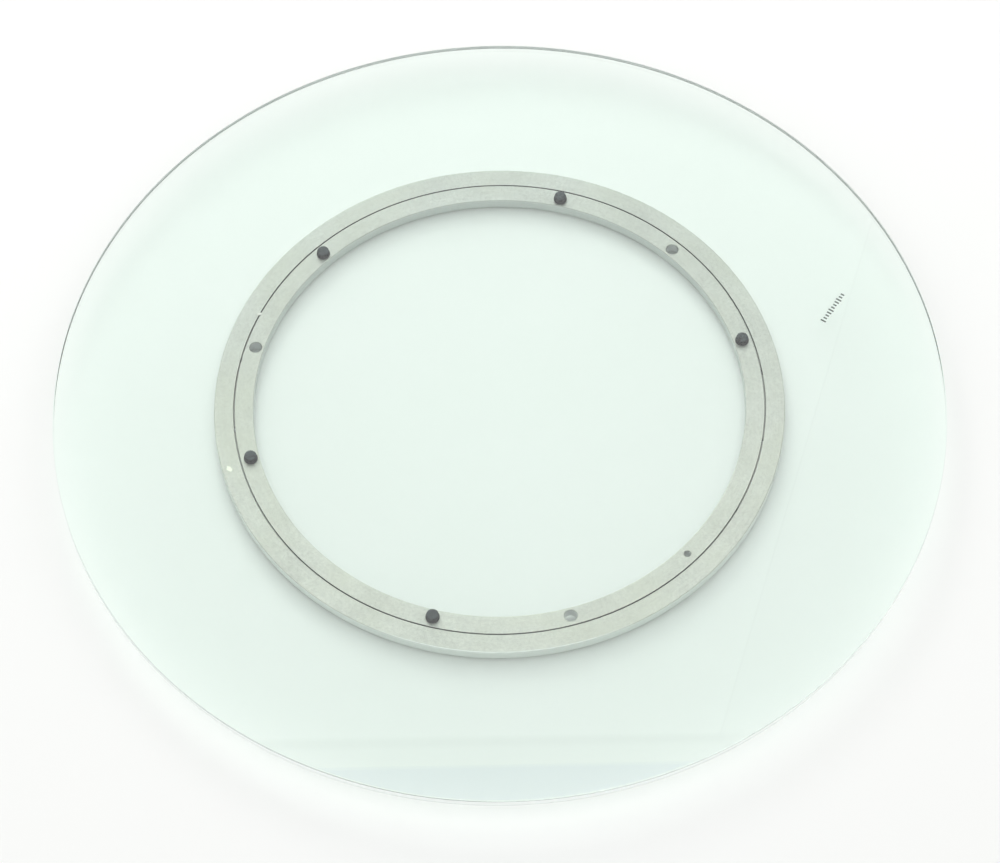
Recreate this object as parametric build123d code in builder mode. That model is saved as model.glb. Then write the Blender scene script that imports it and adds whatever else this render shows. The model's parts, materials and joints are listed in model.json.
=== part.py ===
from build123d import *
import math
import os

# A round glass turntable: a tempered glass plate that rests on rubber pads, over a flat
# two-ring aluminium ball bearing that takes its thrust. The bearing stands on rubber feet.
# Millimetres. +Z is up along the spin axis, and z = 0 is the surface that the feet stand on.

# Rings
ring_outer_d = 350.0
ring_inner_d = 302.2
ring_t = 7.5
race_gap = 0.7
race_pitch_r = 162.9
rim_round = 0.5
gap_break = 0.2
hole_break = 0.25

# Balls and spacers in the circular race between the rings
ball_d = 4.0
ball_clearance = 0.12
ball_count = 20
first_ball_deg = 6.0
spacer_d = 3.2
spacer_end_gap = 0.25

# Holes of the inner ring, on one circle
hole_circle_r = 156.4
screw_hole_d = 7.8
screw_hole_count = 3
pad_hole_d = 4.3
pad_place_count = 6
first_pad_deg = 14.5

# Push-in rubber pads that carry the glass: the sixth place is empty
fitted_pads = 5
pad_stand = 4.0
pad_flange_d = 8.4
pad_flange_t = 1.3
pad_head_d = 7.3
pad_peg_d = 4.2
pad_peg_length = 5.5
pad_tooth_count = 18
pad_notch_r = 0.32
pad_notch_depth = 1.1

# Rubber feet stuck under the outer ring
foot_d = 9.0
foot_t = 1.5
foot_count = 6
foot_round = 0.3

# Radial filling hole of the race in the outer ring, and its slotted plug
filler_hole_d = 4.6
filler_plug_d = 4.5
filler_deg = 340.0
filler_inset = 0.3
filler_slot_w = 0.8
filler_slot_depth = 0.9

# Glass plate
glass_d = 545.4
glass_t = 6.0
glass_edge_round = 0.8

# Worked out from the dimensions above
ring_outer_r = ring_outer_d / 2
ring_inner_r = ring_inner_d / 2
outer_ring_bore_r = race_pitch_r + race_gap / 2
inner_ring_rim_r = race_pitch_r - race_gap / 2
ring_bottom_z = foot_t
ring_mid_z = ring_bottom_z + ring_t / 2
ring_top_z = ring_bottom_z + ring_t
ball_r = ball_d / 2
groove_r = ball_r + ball_clearance
groove_floor_r = race_pitch_r + groove_r
pad_pitch_deg = 360 / pad_place_count
first_screw_deg = first_pad_deg + pad_pitch_deg / 2
foot_circle_r = (outer_ring_bore_r + ring_outer_r) / 2
glass_bottom_z = ring_top_z + pad_stand
ball_pitch_deg = 360 / ball_count

os.makedirs("parts", exist_ok=True)


def save(builder, name):
    """Label one finished piece and write it as its own STEP file."""
    builder.part.label = name
    export_step(builder.part, f"parts/{name}.step")


def axial_plane(angle_deg):
    """Plane that holds the spin axis: its x points outwards at the angle, its y is up."""
    angle = math.radians(angle_deg)
    outwards = (math.cos(angle), math.sin(angle), 0)
    sideways = (math.sin(angle), -math.cos(angle), 0)
    return Plane(origin=(0, 0, 0), x_dir=outwards, z_dir=sideways)


def level_plane(radius, angle_deg, z):
    """Level plane at a place on a circle about the spin axis, with x pointing outwards."""
    angle = math.radians(angle_deg)
    outwards = (math.cos(angle), math.sin(angle), 0)
    place = (radius * outwards[0], radius * outwards[1], z)
    return Plane(origin=place, x_dir=outwards, z_dir=(0, 0, 1))


def facing_plane(radius, angle_deg, z):
    """Upright plane at a place on a circle about the spin axis, facing outwards."""
    angle = math.radians(angle_deg)
    outwards = (math.cos(angle), math.sin(angle), 0)
    sideways = (-math.sin(angle), math.cos(angle), 0)
    place = (radius * outwards[0], radius * outwards[1], z)
    return Plane(origin=place, x_dir=sideways, z_dir=outwards)


def circles_of(builder, diameter):
    """Circular edges of one diameter, such as both mouths of a drilled hole."""
    circles = builder.edges().filter_by(GeomType.CIRCLE)
    return circles.filter_by(lambda edge: abs(edge.radius - diameter / 2) < 0.001)


# Outer ring: the fixed base of the bearing, with half of the ball race in its bore
with BuildPart() as outer_ring:
    with BuildSketch(Plane.XZ) as section:
        with Locations((outer_ring_bore_r, ring_bottom_z)):
            Rectangle(ring_outer_r - outer_ring_bore_r, ring_t, align=(Align.MIN, Align.MIN))
        rim_corners = section.vertices().group_by(Axis.X)[-1]
        fillet(rim_corners, radius=rim_round)
        gap_corners = section.vertices().group_by(Axis.X)[0]
        chamfer(gap_corners, length=gap_break)
        with Locations((race_pitch_r, ring_mid_z)):
            Circle(groove_r, mode=Mode.SUBTRACT)
    revolve(axis=Axis.Z)
    with BuildSketch(facing_plane(race_pitch_r, filler_deg, ring_mid_z)):
        Circle(filler_hole_d / 2)
    extrude(amount=ring_outer_r - race_pitch_r + 1, mode=Mode.SUBTRACT)
save(outer_ring, "outer_ring")

# Inner ring: the turning half of the bearing, drilled for the pads and for screws
with BuildPart() as inner_ring:
    with BuildSketch(Plane.XZ) as section:
        with Locations((ring_inner_r, ring_bottom_z)):
            Rectangle(inner_ring_rim_r - ring_inner_r, ring_t, align=(Align.MIN, Align.MIN))
        bore_corners = section.vertices().group_by(Axis.X)[0]
        fillet(bore_corners, radius=rim_round)
        gap_corners = section.vertices().group_by(Axis.X)[-1]
        chamfer(gap_corners, length=gap_break)
        with Locations((race_pitch_r, ring_mid_z)):
            Circle(groove_r, mode=Mode.SUBTRACT)
    revolve(axis=Axis.Z)
    with BuildSketch(Plane.XY.offset(ring_bottom_z)):
        with PolarLocations(hole_circle_r, pad_place_count, start_angle=first_pad_deg):
            Circle(pad_hole_d / 2)
        with PolarLocations(hole_circle_r, screw_hole_count, start_angle=first_screw_deg):
            Circle(screw_hole_d / 2)
    extrude(amount=ring_t, mode=Mode.SUBTRACT)
    chamfer(circles_of(inner_ring, pad_hole_d), length=hole_break)
    chamfer(circles_of(inner_ring, screw_hole_d), length=hole_break)
save(inner_ring, "inner_ring")

# Filler plug: closes the hole through which balls and spacers go into the race
filler_plug_r = filler_plug_d / 2
filler_plug_start_r = groove_floor_r + 0.05
filler_plug_end_r = ring_outer_r - filler_inset
with BuildPart() as filler_plug:
    with BuildSketch(facing_plane(filler_plug_start_r, filler_deg, ring_mid_z)):
        Circle(filler_plug_r)
    extrude(amount=filler_plug_end_r - filler_plug_start_r)
    with BuildSketch(facing_plane(filler_plug_end_r, filler_deg, ring_mid_z)):
        Rectangle(filler_plug_d, filler_slot_w)
    extrude(amount=-filler_slot_depth, mode=Mode.SUBTRACT)
save(filler_plug, "filler_plug")

# Steel balls, evenly round the race
for index in range(ball_count):
    ball_deg = first_ball_deg + index * ball_pitch_deg
    ball_plane = level_plane(race_pitch_r, ball_deg, ring_mid_z)
    with BuildPart(ball_plane) as ball:
        Sphere(ball_r)
    save(ball, f"ball_{index + 1:02d}")

# Nylon spacers: one curved rod between each ball and the next
ball_half_deg = math.degrees((ball_r + spacer_end_gap) / race_pitch_r)
spacer_sweep_deg = ball_pitch_deg - 2 * ball_half_deg
for index in range(ball_count):
    start_deg = first_ball_deg + index * ball_pitch_deg + ball_half_deg
    with BuildPart() as spacer:
        with BuildSketch(axial_plane(start_deg)):
            with Locations((race_pitch_r, ring_mid_z)):
                Circle(spacer_d / 2)
        revolve(axis=Axis.Z, revolution_arc=spacer_sweep_deg)
    save(spacer, f"spacer_{index + 1:02d}")

# Rubber pads: a peg in the ring, a flange on it, and a head with a toothed rim
upwards = (Align.CENTER, Align.CENTER, Align.MIN)
downwards = (Align.CENTER, Align.CENTER, Align.MAX)
for index in range(fitted_pads):
    pad_plane = level_plane(hole_circle_r, first_pad_deg + index * pad_pitch_deg, ring_top_z)
    with BuildPart(pad_plane) as pad:
        Cylinder(pad_flange_d / 2, pad_flange_t, align=upwards)
        Cylinder(pad_head_d / 2, pad_stand, align=upwards)
        Cylinder(pad_peg_d / 2, pad_peg_length, align=downwards)
        with BuildSketch(pad_plane.offset(pad_stand)):
            with PolarLocations(pad_head_d / 2, pad_tooth_count):
                Circle(pad_notch_r)
        extrude(amount=-pad_notch_depth, mode=Mode.SUBTRACT)
    save(pad, f"pad_{index + 1}")

# Rubber feet under the outer ring
for index in range(foot_count):
    foot_deg = first_screw_deg + index * 360 / foot_count
    with BuildPart(level_plane(foot_circle_r, foot_deg, 0)) as foot:
        Cylinder(foot_d / 2, foot_t, align=upwards)
        fillet(foot.edges().group_by(Axis.Z)[0], radius=foot_round)
    save(foot, f"foot_{index + 1}")

# Glass plate with a ground and polished round edge
with BuildPart() as glass_top:
    with BuildSketch(Plane.XY.offset(glass_bottom_z)):
        Circle(glass_d / 2)
    extrude(amount=glass_t)
    fillet(glass_top.edges().filter_by(GeomType.CIRCLE), radius=glass_edge_round)
save(glass_top, "glass_top")
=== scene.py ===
import json
import math

import bmesh
import bpy
from mathutils import Matrix, Vector


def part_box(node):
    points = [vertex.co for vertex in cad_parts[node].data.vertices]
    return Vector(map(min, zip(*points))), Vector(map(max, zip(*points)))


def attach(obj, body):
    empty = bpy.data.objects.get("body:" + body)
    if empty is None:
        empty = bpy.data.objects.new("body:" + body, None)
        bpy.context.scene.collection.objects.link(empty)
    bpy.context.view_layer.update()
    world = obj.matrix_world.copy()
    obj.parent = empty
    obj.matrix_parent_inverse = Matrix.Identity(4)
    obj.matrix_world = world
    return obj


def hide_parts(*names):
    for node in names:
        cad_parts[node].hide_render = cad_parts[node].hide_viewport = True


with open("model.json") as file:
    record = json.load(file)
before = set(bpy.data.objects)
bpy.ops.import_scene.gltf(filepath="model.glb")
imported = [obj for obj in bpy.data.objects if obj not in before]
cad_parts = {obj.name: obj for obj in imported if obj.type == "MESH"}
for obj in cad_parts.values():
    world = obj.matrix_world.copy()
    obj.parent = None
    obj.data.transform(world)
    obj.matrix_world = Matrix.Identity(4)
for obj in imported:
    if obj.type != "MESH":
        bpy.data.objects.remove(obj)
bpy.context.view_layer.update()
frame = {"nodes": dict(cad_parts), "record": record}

# Levels and radii of the turntable, in metres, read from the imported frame
GLASS_LOW, GLASS_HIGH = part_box("glass_top")
RING_LOW, RING_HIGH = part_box("outer_ring")
_, INNER_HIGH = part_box("inner_ring")
RING_TOP = RING_HIGH.z
RING_BOTTOM = RING_LOW.z
GLASS_BOTTOM = GLASS_LOW.z
GLASS_TOP = GLASS_HIGH.z
GLASS_R = GLASS_HIGH.x
OUTER_R = RING_HIGH.x
GAP_R = INNER_HIGH.x

# Two more radii of the inner ring: the circle its holes lie on, and its bore
HOLE_R = 0.1564
BORE_R = 0.1511

# Most values of a noise lie between these two
NOISE_SPAN = (0.3, 0.7)


# ---------------------------------------------------------------- node helpers
class Nodes:
    """A short way to write one procedural material."""

    def __init__(self, name):
        self.mat = bpy.data.materials.new(name)
        self.mat.use_nodes = True
        self.tree = self.mat.node_tree
        self.tree.nodes.clear()
        self.out = self.tree.nodes.new("ShaderNodeOutputMaterial")

    def add(self, kind, **values):
        node = self.tree.nodes.new("ShaderNode" + kind)
        for key, value in values.items():
            setattr(node, key, value)
        return node

    def link(self, source, target):
        self.tree.links.new(source, target)

    def math(self, operation, a, b=None):
        """One Math node. Each value is a number or a socket."""
        node = self.add("Math", operation=operation)
        for slot, value in enumerate((a, b)):
            if value is None:
                continue
            if isinstance(value, (int, float)):
                node.inputs[slot].default_value = value
            else:
                self.link(value, node.inputs[slot])
        return node.outputs[0]

    def plus(self, a, b):
        return self.math("ADD", a, b)

    def times(self, a, b):
        return self.math("MULTIPLY", a, b)

    def length(self, a, b):
        return self.math("SQRT", self.plus(self.times(a, a), self.times(b, b)))

    def between(self, value, low, high):
        """1 where the value lies between two bounds, and 0 elsewhere."""
        return self.times(self.math("GREATER_THAN", value, low), self.math("LESS_THAN", value, high))

    def remap(self, value, low, high, to_low, to_high):
        node = self.add("MapRange")
        node.inputs["From Min"].default_value = low
        node.inputs["From Max"].default_value = high
        node.inputs["To Min"].default_value = to_low
        node.inputs["To Max"].default_value = to_high
        self.link(value, node.inputs["Value"])
        return node.outputs["Result"]

    def rise(self, value, start, full):
        """0 at one bound and 1 at the other, which may be the lower one."""
        return self.remap(value, start, full, 0.0, 1.0)

    def position(self):
        """Place on the piece itself, in metres, which moves with it."""
        return self.add("TexCoord").outputs["Object"]

    def axes(self):
        """Sockets for the three coordinates of the place on the piece."""
        split = self.add("SeparateXYZ")
        self.link(self.position(), split.inputs[0])
        return split.outputs["X"], split.outputs["Y"], split.outputs["Z"]

    def vector(self, *parts):
        node = self.add("CombineXYZ")
        for slot, part in enumerate(parts):
            self.link(part, node.inputs[slot])
        return node.outputs[0]

    def noise(self, vector, scale, detail=2.0, rough=0.5):
        node = self.add("TexNoise")
        node.inputs["Scale"].default_value = scale
        node.inputs["Detail"].default_value = detail
        node.inputs["Roughness"].default_value = rough
        self.link(vector, node.inputs["Vector"])
        return node.outputs["Fac"]

    def blend(self, value, dark, light):
        """A colour between two, by a value from 0 to 1."""
        node = self.add("ValToRGB")
        node.color_ramp.elements[0].color = (*dark, 1)
        node.color_ramp.elements[1].color = (*light, 1)
        self.link(value, node.inputs["Fac"])
        return node.outputs["Color"]

    def mix(self, factor, first, second, **values):
        """Mix two colours. Each of the three is a plain value or a socket."""
        node = self.add("Mix", data_type="RGBA", **values)
        for name, value in (("Factor", factor), ("A", first), ("B", second)):
            if isinstance(value, float):
                node.inputs[name].default_value = value
            elif isinstance(value, tuple):
                node.inputs[name].default_value = (*value, 1)
            else:
                self.link(value, node.inputs[name])
        return node.outputs["Result"]

    def bump(self, height, strength, distance):
        node = self.add("Bump")
        node.inputs["Strength"].default_value = strength
        node.inputs["Distance"].default_value = distance
        self.link(height, node.inputs["Height"])
        return node.outputs["Normal"]

    def principled(self, **values):
        node = self.add("BsdfPrincipled")
        for key, value in values.items():
            node.inputs[key.replace("_", " ")].default_value = value
        self.link(node.outputs[0], self.out.inputs["Surface"])
        return node


def polar(nodes):
    """Sockets for the distance from the spin axis, the angle about it and the height."""
    x, y, z = nodes.axes()
    return nodes.length(x, y), nodes.math("ARCTAN2", y, x), z


# -------------------------------------------------------------- ring aluminium
# Colours are linear. A pair is the two ends of a blend.
ANODISED = ((0.505, 0.503, 0.472), (0.765, 0.762, 0.717))
STAIN = (0.612, 0.614, 0.528)
# Painted light and shade: the two ends of the blend across the ring, far side to near side
PAINTED_SIDE_LIGHT = ((0.811, 0.821, 0.829), (1.0, 0.992, 0.960))
# Bare drilled walls, and painted light on the walls of the empty pad hole
DRILLED_AND_PAINTED_LIGHT = ((0.78, 0.79, 0.79), (0.97, 0.975, 0.97))
# Painted highlight on the near side of the outer corner
PAINTED_CORNER_HIGHLIGHT = (0.84, 0.845, 0.83)
# Painted shade on the bore wall and painted light on the outer wall
BORE_WALL_PAINTED_SHADE = ((0.635, 0.66, 0.64), (0.715, 0.74, 0.72))
OUTER_WALL_PAINTED_LIGHT = ((0.82, 0.845, 0.82), (0.92, 0.945, 0.92))
# Painted light on the underside and the foot of the walls
UNDERSIDE_PAINTED_LIGHT = ((0.94, 0.955, 0.94), (0.97, 0.985, 0.97))
CREAM = (0.93, 0.92, 0.80)
# Grease and painted shade in the mouth of the race
GREASE_AND_PAINTED_SHADE = (0.03, 0.03, 0.028)

# How little the angle counts in the lathe lines, which makes them run round the axis
LATHE_STRETCH = 0.004
# Painted light: the anodised colour is painted lighter in this direction, in X and Y, so the near side
# looks more lit
PAINTED_LIGHT_TOWARDS = (0.04, -1.0)
# Radii between which a feature lies, or over which it sets in
HOLE_BAND = (HOLE_R - 0.0042, HOLE_R + 0.0041)
CORNER_BAND = (OUTER_R - 0.00075, OUTER_R - 0.0004)
OUTER_WALL_BAND = (OUTER_R - 0.0003, OUTER_R - 0.0001)
BORE_WALL_R = BORE_R + 0.0002
MOUTH_BAND = (GAP_R - 0.0001, GAP_R + 0.0008)
# Heights over which a feature sets in
HOLE_LEVELS = (RING_TOP - 0.0002, RING_TOP - 0.0006)
CORNER_LEVELS = (RING_TOP - 0.0007, RING_TOP - 0.0003)
WALL_LEVELS = (RING_TOP - 0.0003, RING_TOP - 0.0006)
UNDER_LEVELS = (RING_BOTTOM + 0.0005, RING_BOTTOM + 0.0001)
MOUTH_LEVELS = (RING_TOP - 0.00006, RING_TOP - 0.00026)
# The empty pad hole lies between these two angles about the axis
PAD_HOLE_ANGLES = (math.radians(-48.0), math.radians(-43.0))
# The painted highlight on the corner sets in between these two sines of the angle about the axis
HIGHLIGHT_CORNER_SINES = (-0.88, -0.96)
# How much the roughness of the drilled walls is below that of the faces
DRILLED_SMOOTHER = 0.20

# The cream fleck: its middle, the two distances over which it ends, and how uneven its outline is
FLECK_R = 0.1704
FLECK_ANGLE = math.radians(-164.4)
FLECK_EDGE = (0.0017, 0.0021)
FLECK_SQUASH = 1.9
FLECK_RAGGED = 0.0042
FLECK_LOW = RING_TOP - 0.0001


def anodised(n, place, lines, cloud):
    """Colour of the anodised faces: cloudy, finely speckled, stained here and there, with painted light
    that makes the near side lighter and the far side darker.
    """
    speckle = n.noise(place, scale=620.0, detail=3.0, rough=0.65)
    fine = n.plus(n.times(lines, 0.2), n.times(speckle, 0.4))
    tone = n.rise(n.plus(n.times(cloud, 0.4), fine), 0.33, 0.67)
    stain = n.remap(n.noise(place, scale=15.0, detail=3.0, rough=0.6), 0.42, 0.68, 0.0, 0.45)
    stained = n.mix(stain, n.blend(tone, *ANODISED), STAIN)
    x, y, _ = n.axes()
    side = n.plus(n.times(x, PAINTED_LIGHT_TOWARDS[0]), n.times(y, PAINTED_LIGHT_TOWARDS[1]))
    # Painted light and shade: the colour is lighter towards the near side
    painted_side_light = n.blend(n.rise(side, -OUTER_R, OUTER_R), *PAINTED_SIDE_LIGHT)
    return n.mix(1.0, stained, painted_side_light, blend_type="MULTIPLY")


def cream_fleck(n, place, radius, angle, height):
    """Mask of a ragged fleck of paint on the top of the outer ring."""
    across = n.math("SUBTRACT", n.times(angle, FLECK_R), FLECK_ANGLE * FLECK_R)
    out = n.math("SUBTRACT", radius, FLECK_R)
    squared = n.plus(n.times(across, across), n.times(n.times(out, out), FLECK_SQUASH))
    wander = n.math("SUBTRACT", n.noise(place, scale=620.0, detail=2.0, rough=0.5), 0.5)
    far = n.plus(n.math("SQRT", squared), n.times(wander, FLECK_RAGGED))
    return n.times(n.remap(far, *FLECK_EDGE, 1.0, 0.0), n.math("GREATER_THAN", height, FLECK_LOW))


def aluminium():
    """Fine satin anodised aluminium with lathe lines round the spin axis, bare where it was cut, with
    painted light and shade on several faces.
    """
    n = Nodes("satin_aluminium")
    place = n.position()
    radius, angle, height = polar(n)
    turned = n.vector(radius, n.times(angle, LATHE_STRETCH), height)
    lines = n.noise(turned, scale=2600.0, detail=3.0, rough=0.6)
    cloud = n.noise(place, scale=26.0, detail=3.0, rough=0.55)
    grain = n.noise(place, scale=1500.0, detail=2.0, rough=0.6)
    colour = anodised(n, place, lines, cloud)

    # The walls of the drilled holes are bare metal, and in the empty pad hole they are painted brightest,
    # as painted light
    drilled = n.times(n.between(radius, *HOLE_BAND), n.rise(height, *HOLE_LEVELS))
    colour = n.mix(drilled, colour, n.blend(n.between(angle, *PAD_HOLE_ANGLES), *DRILLED_AND_PAINTED_LIGHT))

    # Painted highlight: on the near side the turned round corner of the outer ring is painted bright
    corner = n.times(n.rise(radius, *CORNER_BAND), n.rise(height, *CORNER_LEVELS))
    painted_light_mask = n.rise(n.math("SINE", angle), *HIGHLIGHT_CORNER_SINES)
    colour = n.mix(n.times(corner, painted_light_mask), colour, PAINTED_CORNER_HIGHLIGHT)

    # Painted light and shade on the turned walls: the outer wall is painted lighter, and the wall of the
    # bore is painted darker
    outside = n.rise(radius, *OUTER_WALL_BAND)
    round_wall = n.math("MAXIMUM", outside, n.math("LESS_THAN", radius, BORE_WALL_R))
    wall = n.times(round_wall, n.rise(height, *WALL_LEVELS))
    painted_walls = n.mix(outside, n.blend(lines, *BORE_WALL_PAINTED_SHADE), n.blend(lines, *OUTER_WALL_PAINTED_LIGHT))
    colour = n.mix(wall, colour, painted_walls)

    # Painted light: the underside and the foot of the walls are painted bright, which lightens the shade in
    # the slot under the ring
    colour = n.mix(n.rise(height, *UNDER_LEVELS), colour, n.blend(lines, *UNDERSIDE_PAINTED_LIGHT))
    colour = n.mix(cream_fleck(n, place, radius, angle, height), colour, CREAM)

    # Painted shade, with old grease: the mouth of the race, between the two rings, is darkened
    mouth = n.times(n.between(radius, *MOUTH_BAND), n.rise(height, *MOUTH_LEVELS))
    colour = n.mix(mouth, colour, GREASE_AND_PAINTED_SHADE)

    shader = n.principled(Metallic=0.85)
    n.link(colour, shader.inputs["Base Color"])
    satin = n.remap(n.plus(cloud, n.times(grain, 0.5)), 0.4, 1.1, 0.34, 0.50)
    satin = n.math("SUBTRACT", satin, n.times(drilled, DRILLED_SMOOTHER))
    n.link(satin, shader.inputs["Roughness"])
    relief = n.plus(n.times(lines, 0.6), n.times(grain, 0.4))
    n.link(n.bump(relief, strength=0.10, distance=0.00004), shader.inputs["Normal"])
    return n.mat


# ------------------------------------------------------------- other materials
def plug_metal():
    """Turned aluminium of the filler plug."""
    n = Nodes("turned_plug")
    shader = n.principled(Metallic=1.0)
    grain = n.noise(n.position(), scale=1800.0, detail=3.0, rough=0.6)
    n.link(n.blend(grain, (0.42, 0.42, 0.41), (0.60, 0.60, 0.59)), shader.inputs["Base Color"])
    n.link(n.remap(grain, *NOISE_SPAN, 0.28, 0.42), shader.inputs["Roughness"])
    return n.mat


def steel():
    """Polished bearing balls, with a thin uneven film of grease."""
    n = Nodes("ball_steel")
    shader = n.principled(Metallic=1.0)
    film = n.noise(n.position(), scale=420.0, detail=3.0, rough=0.6)
    n.link(n.blend(film, (0.52, 0.53, 0.54), (0.66, 0.67, 0.68)), shader.inputs["Base Color"])
    n.link(n.remap(film, *NOISE_SPAN, 0.07, 0.20), shader.inputs["Roughness"])
    return n.mat


def nylon():
    """White nylon, which light enters a little way."""
    n = Nodes("white_nylon")
    shader = n.principled(IOR=1.53, Subsurface_Weight=0.15, Subsurface_Radius=(0.0012, 0.0011, 0.001))
    cloud = n.noise(n.position(), scale=240.0, detail=3.0, rough=0.6)
    n.link(n.blend(cloud, (0.74, 0.73, 0.68), (0.86, 0.85, 0.81)), shader.inputs["Base Color"])
    n.link(n.remap(cloud, *NOISE_SPAN, 0.38, 0.55), shader.inputs["Roughness"])
    return n.mat


# Heights over which the painted light on the tops of the pads sets in
PAD_TOP_LIGHT_LEVELS = (GLASS_BOTTOM - 0.0004, GLASS_BOTTOM - 0.0001)


def pad_rubber():
    """Matt black rubber, painted paler in patches on the top that carries the glass, as painted light."""
    n = Nodes("pad_rubber")
    place = n.position()
    shader = n.principled(IOR=1.4)
    patches = n.rise(n.noise(place, scale=900.0, detail=2.0, rough=0.6), 0.38, 0.64)
    # Painted light: the top of the head is painted paler in patches
    painted_light_mask = n.times(n.rise(n.axes()[2], *PAD_TOP_LIGHT_LEVELS), patches)
    grain = n.noise(place, scale=2200.0, detail=2.0, rough=0.6)
    n.link(n.blend(painted_light_mask, (0.001, 0.002, 0.003), (0.062, 0.082, 0.092)), shader.inputs["Base Color"])
    n.link(n.remap(grain, *NOISE_SPAN, 0.60, 0.75), shader.inputs["Roughness"])
    n.link(n.bump(grain, strength=0.3, distance=0.00004), shader.inputs["Normal"])
    return n.mat


def foot_rubber():
    """Moulded black rubber with a fine matt grain."""
    n = Nodes("foot_rubber")
    place = n.position()
    shader = n.principled(IOR=1.5)
    grain = n.noise(place, scale=2200.0, detail=2.0, rough=0.6)
    cloud = n.noise(place, scale=260.0, detail=2.0, rough=0.5)
    n.link(n.blend(cloud, (0.020, 0.020, 0.022), (0.040, 0.040, 0.043)), shader.inputs["Base Color"])
    n.link(n.remap(cloud, *NOISE_SPAN, 0.50, 0.68), shader.inputs["Roughness"])
    n.link(n.bump(grain, strength=0.25, distance=0.00003), shader.inputs["Normal"])
    return n.mat


def clear_glass():
    """Pale green float glass. Lamps shine through it, and a faint cloudiness varies its tint."""
    n = Nodes("float_glass")
    glass = n.principled(Roughness=0.0, IOR=1.52, Transmission_Weight=1.0)
    cloud = n.noise(n.position(), scale=9.0, detail=3.0, rough=0.55)
    n.link(n.blend(cloud, (0.932, 0.994, 0.958), (0.948, 1.0, 0.974)), glass.inputs["Base Color"])
    clear = n.add("BsdfTransparent")
    clear.inputs["Color"].default_value = (0.925, 0.955, 0.94, 1)
    choose = n.add("MixShader")
    n.link(n.add("LightPath").outputs["Is Shadow Ray"], choose.inputs[0])
    n.link(glass.outputs[0], choose.inputs[1])
    n.link(clear.outputs[0], choose.inputs[2])
    n.link(choose.outputs[0], n.out.inputs["Surface"])
    return n.mat


# How little the angle counts in the scratches, which makes them run round the edge
SCRATCH_STRETCH = 0.02


def ground_edge():
    """The flat of the glass edge, ground to a pale even finish with fine scratches round it."""
    n = Nodes("ground_edge")
    _, angle, height = polar(n)
    along = n.vector(n.times(angle, SCRATCH_STRETCH), height)
    scratch = n.noise(along, scale=3000.0, detail=3.0, rough=0.6)
    shader = n.principled(IOR=1.5, Transmission_Weight=0.10)
    n.link(n.blend(scratch, (0.93, 0.98, 0.955), (0.97, 1.0, 0.985)), shader.inputs["Base Color"])
    n.link(n.remap(scratch, *NOISE_SPAN, 0.45, 0.6), shader.inputs["Roughness"])
    return n.mat


def frit():
    """Dark grey ceramic ink fired on the glass."""
    n = Nodes("grey_frit")
    shader = n.principled(Roughness=0.6)
    cloud = n.noise(n.position(), scale=900.0, detail=2.0, rough=0.6)
    n.link(n.blend(cloud, (0.012, 0.014, 0.013), (0.035, 0.038, 0.036)), shader.inputs["Base Color"])
    return n.mat


def floor_paint():
    """Pale table top, slightly glossy and very faintly cloudy."""
    n = Nodes("pale_floor")
    shader = n.principled(Roughness=0.28, IOR=1.5)
    cloud = n.noise(n.position(), scale=1.3, detail=3.0, rough=0.5)
    n.link(n.blend(cloud, (0.878, 0.885, 0.866), (0.898, 0.905, 0.886)), shader.inputs["Base Color"])
    return n.mat


def dress():
    """Give every CAD node its material by the record's slot."""
    by_slot = {
        "anodised_aluminium": aluminium(),
        "plug_aluminium": plug_metal(),
        "ball_steel": steel(),
        "white_nylon": nylon(),
        "black_rubber": pad_rubber(),
        "foot_rubber": foot_rubber(),
        "clear_glass": clear_glass(),
    }
    slot_of = {row["node"]: row["material_slot"] for row in frame["record"]["subparts"]}
    for name, node in frame["nodes"].items():
        node.data.materials.clear()
        node.data.materials.append(by_slot[slot_of[name]])
        for face in node.data.polygons:
            face.material_index = 0
    return by_slot


# ---------------------------------------------------------------- small pieces
def new_piece(name, mesh_maker, material):
    """A new object in the scene, with the mesh that mesh_maker draws into an empty bmesh."""
    mesh = bpy.data.meshes.new(name)
    bm = bmesh.new()
    mesh_maker(bm)
    bm.to_mesh(mesh)
    bm.free()
    piece = bpy.data.objects.new(name, mesh)
    bpy.context.scene.collection.objects.link(piece)
    mesh.materials.append(material)
    return piece


def lathe(bm, profile, segments, middle=(0.0, 0.0), wave=0):
    """Turn a profile of (radius, z, notch depth) about a vertical axis, and close both ends.

    wave is the number of teeth cut round the levels whose notch depth isn't zero."""
    loops = []
    for radius, z, notch in profile:
        loop = []
        for step in range(segments):
            angle = 2 * math.pi * step / segments
            reach = radius - notch * max(0.0, math.cos(wave * angle))
            x = middle[0] + reach * math.cos(angle)
            y = middle[1] + reach * math.sin(angle)
            loop.append(bm.verts.new((x, y, z)))
        loops.append(loop)
    for lower, upper in zip(loops, loops[1:]):
        for step in range(segments):
            after = (step + 1) % segments
            face = bm.faces.new((lower[step], lower[after], upper[after], upper[step]))
            face.smooth = True
    bm.faces.new(list(reversed(loops[0])))
    bm.faces.new(loops[-1])
    bm.normal_update()


def rounding(radius, z, size, start, end, steps):
    """Profile points along a round corner, with its centre at (radius, z), angles in degrees."""
    points = []
    for step in range(steps + 1):
        angle = math.radians(start + (end - start) * step / steps)
        points.append((radius + size * math.cos(angle), z + size * math.sin(angle), 0.0))
    return points


GLASS_ROUND = 0.0008
GLASS_ROUND_STEPS = 10
GLASS_SEGMENTS = 480
# Faces of the glass edge whose normal tilts less than this are its ground flat
GROUND_TILT = 0.05


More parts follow.
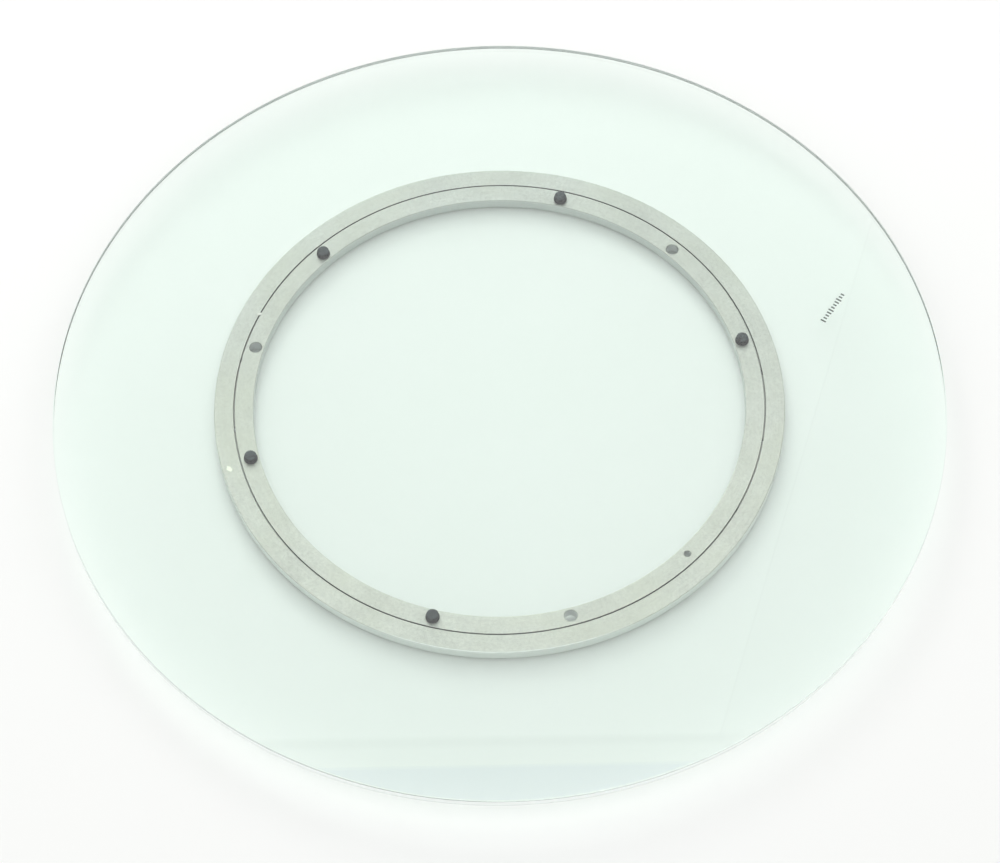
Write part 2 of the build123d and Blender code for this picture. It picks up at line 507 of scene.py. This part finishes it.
def glass_disc(material):
    """The glass plate as one finely turned disc, so that its polished edge reflects cleanly."""
    def make(bm):
        edge = GLASS_R - GLASS_ROUND
        profile = rounding(edge, GLASS_BOTTOM + GLASS_ROUND, GLASS_ROUND, -90, 0, GLASS_ROUND_STEPS)
        profile += rounding(edge, GLASS_TOP - GLASS_ROUND, GLASS_ROUND, 0, 90, GLASS_ROUND_STEPS)
        lathe(bm, profile, GLASS_SEGMENTS)
        for face in bm.faces:
            if abs(face.normal.z) < GROUND_TILT:
                face.material_index = 1

    piece = new_piece("glass_disc", make, material)
    piece.data.materials.append(ground_edge())
    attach(piece, "glass")
    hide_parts("glass_top")


PAD_PEG_R = 0.00209
PAD_FLANGE_R = 0.00418
PAD_FLANGE_T = 0.0013
PAD_HEAD_R = 0.00364
PAD_TEETH = 18
PAD_STEPS_PER_TOOTH = 8
PAD_TOOTH = 0.00062
PAD_TOOTH_H = 0.0011
# How far the head stays below the top of its CAD node
PAD_INSIDE = 0.00002
# Outline of a pad from the peg's tip up to the middle of the head. Each row holds a radius, the level
# that the row is measured from, the height over that level, and the share of the teeth's depth.
PAD_OUTLINE = (
    (PAD_PEG_R - 0.0003, "tip", 0.00001, 0.0),
    (PAD_PEG_R, "tip", 0.0004, 0.0),
    (PAD_PEG_R, "seat", 0.00002, 0.0),
    (PAD_FLANGE_R - 0.0002, "seat", 0.00002, 0.0),
    (PAD_FLANGE_R, "seat", 0.0002, 0.0),
    (PAD_FLANGE_R, "shelf", -0.0003, 0.0),
    (PAD_FLANGE_R - 0.00012, "shelf", -0.0001, 0.0),
    (PAD_HEAD_R, "shelf", 0.0, 0.0),
    (PAD_HEAD_R - 0.00012, "shelf", 0.00015, 0.0),
    (PAD_HEAD_R - 0.00012, "collar", 0.0, 0.0),
    (PAD_HEAD_R, "collar", 0.00004, 1.0),
    (PAD_HEAD_R, "top", -0.00022, 1.0),
    (PAD_HEAD_R - 0.00006, "top", -0.00009, 1.0),
    (PAD_HEAD_R - 0.00022, "top", -0.00003, 0.6),
    (PAD_HEAD_R - 0.0008, "top", -0.00001, 0.0),
    (0.0008, "top", 0.0, 0.0),
)


def pads(material):
    """Moulded pads: a peg, a flange on the ring, and a head with a toothed rim and crowned top."""
    for name in sorted(frame["nodes"]):
        if not name.startswith("pad_"):
            continue
        pad_low, pad_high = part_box(name)
        middle = ((pad_low.x + pad_high.x) / 2, (pad_low.y + pad_high.y) / 2)
        top = pad_high.z - PAD_INSIDE
        levels = {"tip": pad_low.z, "seat": RING_TOP, "shelf": RING_TOP + PAD_FLANGE_T,
                  "collar": top - PAD_TOOTH_H, "top": top}

        def make(bm):
            profile = [(radius, levels[level] + over, PAD_TOOTH * share)
                       for radius, level, over, share in PAD_OUTLINE]
            lathe(bm, profile, PAD_TEETH * PAD_STEPS_PER_TOOTH, middle, PAD_TEETH)

        piece = new_piece("rubber_" + name, make, material)
        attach(piece, "turntable")
        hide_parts(name)


MARK_MIDDLE = Vector((0.2092, 0.0596))
MARK_TURN = math.radians(55.0)
MARK_TICKS = 11
MARK_LENGTH = 0.0235
TICK_WIDTH = 0.00100
TICK_HEIGHTS = (0.0036, 0.0024, 0.0024, 0.0030)
MARK_T = 0.00003


def glass_mark():
    """A row of small ticks fired on the underside of the glass, in place of a maker's print."""
    along = Vector((math.cos(MARK_TURN), math.sin(MARK_TURN)))

    def make(bm):
        for index in range(MARK_TICKS):
            share = index / (MARK_TICKS - 1) - 0.5
            middle = MARK_MIDDLE + along * MARK_LENGTH * share
            height = TICK_HEIGHTS[index % len(TICK_HEIGHTS)]
            place = Matrix.Translation((middle.x, middle.y, GLASS_BOTTOM - MARK_T))
            place @= Matrix.Rotation(MARK_TURN, 4, "Z")
            place @= Matrix.Diagonal((TICK_WIDTH, height, MARK_T, 1.0))
            bmesh.ops.create_cube(bm, size=1.0, matrix=place)

    piece = new_piece("glass_mark", make, frit())
    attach(piece, "glass")


NYLON_ANGLE = math.radians(155.9)
NYLON_R = GAP_R + 0.00035
NYLON_Z = RING_TOP + 0.0003
# How far the shaving is turned out of the line of the race, in radians
NYLON_TURN = 0.6
NYLON_SIZE = (0.0030, 0.0020, 0.0005)


def nylon_end(material):
    """A shaving of spacer nylon, which stands out of the race and shows white across its mouth."""
    def make(bm):
        middle = Vector((math.cos(NYLON_ANGLE), math.sin(NYLON_ANGLE))) * NYLON_R
        place = Matrix.Translation((middle.x, middle.y, NYLON_Z))
        place @= Matrix.Rotation(NYLON_ANGLE + NYLON_TURN, 4, "Z")
        place @= Matrix.Diagonal((*NYLON_SIZE, 1.0))
        bmesh.ops.create_uvsphere(bm, u_segments=20, v_segments=12, radius=0.5, matrix=place)
        for face in bm.faces:
            face.smooth = True

    piece = new_piece("spacer_tip", make, material)
    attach(piece, "ball_train")


# ----------------------------------------------------------------------- stage
FLOOR_R = 30.0
FLOOR_DROP = 0.00002
WHITE = (1.0, 1.0, 1.0)
SKY_STRENGTH = 0.972
PANEL_Z = 1.509
# name, corners in metres, colour, strength
PANELS = (
    ("softbox", ((0.244, 0.486), (-1.3, 0.500), (-1.3, 2.4), (0.873, 2.4)), WHITE, 1.28),
    ("side_panel", ((0.246, 0.486), (1.5, 0.486), (1.5, 2.4), (0.875, 2.4)), WHITE, 1.20),
    ("panel_frame", ((-0.50, 0.478), (0.25, 0.476), (0.25, 0.4855), (-0.50, 0.4905)), WHITE, 0.85),
    ("lower_strip", ((-0.50, 0.453), (0.25, 0.451), (0.25, 0.476), (-0.50, 0.478)), WHITE, 1.09),
    ("dark_ceiling", ((-0.40, 0.12), (0.40, 0.12), (0.40, 0.451), (-0.40, 0.453)), (0.48, 0.57, 1.0), 0.84),
)
FADING_PANEL = "dark_ceiling"
# Where the fading panel ends, in distance from its middle line and in Y
FADE_SIDE = (0.21, 0.36)
FADE_FRONT = (0.16, 0.40)


def ground():
    """A wide pale table top, slightly glossy."""
    bm = bmesh.new()
    bmesh.ops.create_circle(bm, cap_ends=True, segments=96, radius=FLOOR_R)
    mesh = bpy.data.meshes.new("floor")
    bm.to_mesh(mesh)
    bm.free()
    floor = bpy.data.objects.new("floor", mesh)
    bpy.context.scene.collection.objects.link(floor)
    mesh.materials.append(floor_paint())
    floor.location.z = -FLOOR_DROP


def sky():
    """Soft even surround of a white studio."""
    world = bpy.data.worlds.new("studio")
    bpy.context.scene.world = world
    world.use_nodes = True
    background = world.node_tree.nodes["Background"]
    background.inputs["Color"].default_value = (*WHITE, 1)
    background.inputs["Strength"].default_value = SKY_STRENGTH


def diffuser(name, corners, colour, strength):
    """A flat glowing panel overhead. The camera doesn't see it, but the glass reflects it.

    The fading panel turns into the sky's own white towards its sides and its front."""
    mesh = bpy.data.meshes.new(name)
    mesh.from_pydata([(x, y, PANEL_Z) for x, y in corners], [], [list(range(len(corners)))])
    panel = bpy.data.objects.new(name, mesh)
    bpy.context.scene.collection.objects.link(panel)
    n = Nodes(name)
    glow = n.add("Emission")
    glow.inputs["Color"].default_value = (*colour, 1)
    glow.inputs["Strength"].default_value = strength
    if name == FADING_PANEL:
        x, y, _ = n.axes()
        middle = n.remap(n.math("ABSOLUTE", x), *FADE_SIDE, 1.0, 0.0)
        sky_white = (SKY_STRENGTH / strength,) * 3
        n.link(n.mix(n.times(middle, n.rise(y, *FADE_FRONT)), sky_white, colour), glow.inputs["Color"])
    n.link(glow.outputs[0], n.out.inputs["Surface"])
    mesh.materials.append(n.mat)
    panel.visible_camera = False


def lamp(name, place, aim, size, power, gloss=True, diffuse=True):
    """A rectangular lamp that the camera doesn't see. It may light gloss alone, or all but gloss."""
    data = bpy.data.lights.new(name, "AREA")
    data.shape = "RECTANGLE"
    data.size, data.size_y = size
    data.energy = power
    lamp_object = bpy.data.objects.new(name, data)
    bpy.context.scene.collection.objects.link(lamp_object)
    lamp_object.location = place
    direction = Vector(aim) - Vector(place)
    lamp_object.rotation_mode = "QUATERNION"
    lamp_object.rotation_quaternion = direction.to_track_quat("-Z", "Y")
    lamp_object.visible_camera = False
    lamp_object.visible_glossy = gloss
    lamp_object.visible_diffuse = diffuse


# ---------------------------------------------------------------------- camera
FOCAL_PER_WIDTH = 2.850
SENSOR = 36.0
ELEVATION = math.radians(57.504)
DISTANCE = 1.75127
TILT = math.radians(-0.614)
ROLL = math.radians(-1.215)


def camera():
    """Looks down at the middle of the ring's top face, with a little tilt and roll."""
    centre = Vector((0, 0, RING_TOP))
    away = Vector((0, -math.cos(ELEVATION), math.sin(ELEVATION)))
    forward = -away
    right = Vector((1, 0, 0))
    up = right.cross(forward)
    forward = math.cos(TILT) * forward + math.sin(TILT) * up
    right = forward.cross(up).normalized()
    up = right.cross(forward)
    right, up = (math.cos(ROLL) * right + math.sin(ROLL) * up,
                 math.cos(ROLL) * up - math.sin(ROLL) * right)
    data = bpy.data.cameras.new("camera")
    data.sensor_width = SENSOR
    data.lens = FOCAL_PER_WIDTH * SENSOR
    view = bpy.data.objects.new("camera", data)
    bpy.context.scene.collection.objects.link(view)
    turn = Matrix((right, up, -forward)).transposed()
    view.matrix_world = Matrix.Translation(centre + away * DISTANCE) @ turn.to_4x4()
    bpy.context.scene.camera = view


# ------------------------------------------------------------------------ make
finish_of = dress()
glass_disc(finish_of["clear_glass"])
pads(finish_of["black_rubber"])
glass_mark()
nylon_end(finish_of["white_nylon"])
ground()
sky()
for panel in PANELS:
    diffuser(*panel)
lamp("key", place=(-0.45, 2.05, 1.2), aim=(0, 0.1, 0), size=(1.0, 0.8), power=11.5, gloss=False)
lamp("front", place=(0.1, -1.7, 1.15), aim=(0, 0, 0), size=(1.6, 0.8), power=3.0, diffuse=False)
camera()
bpy.context.scene.view_settings.view_transform = "Standard"
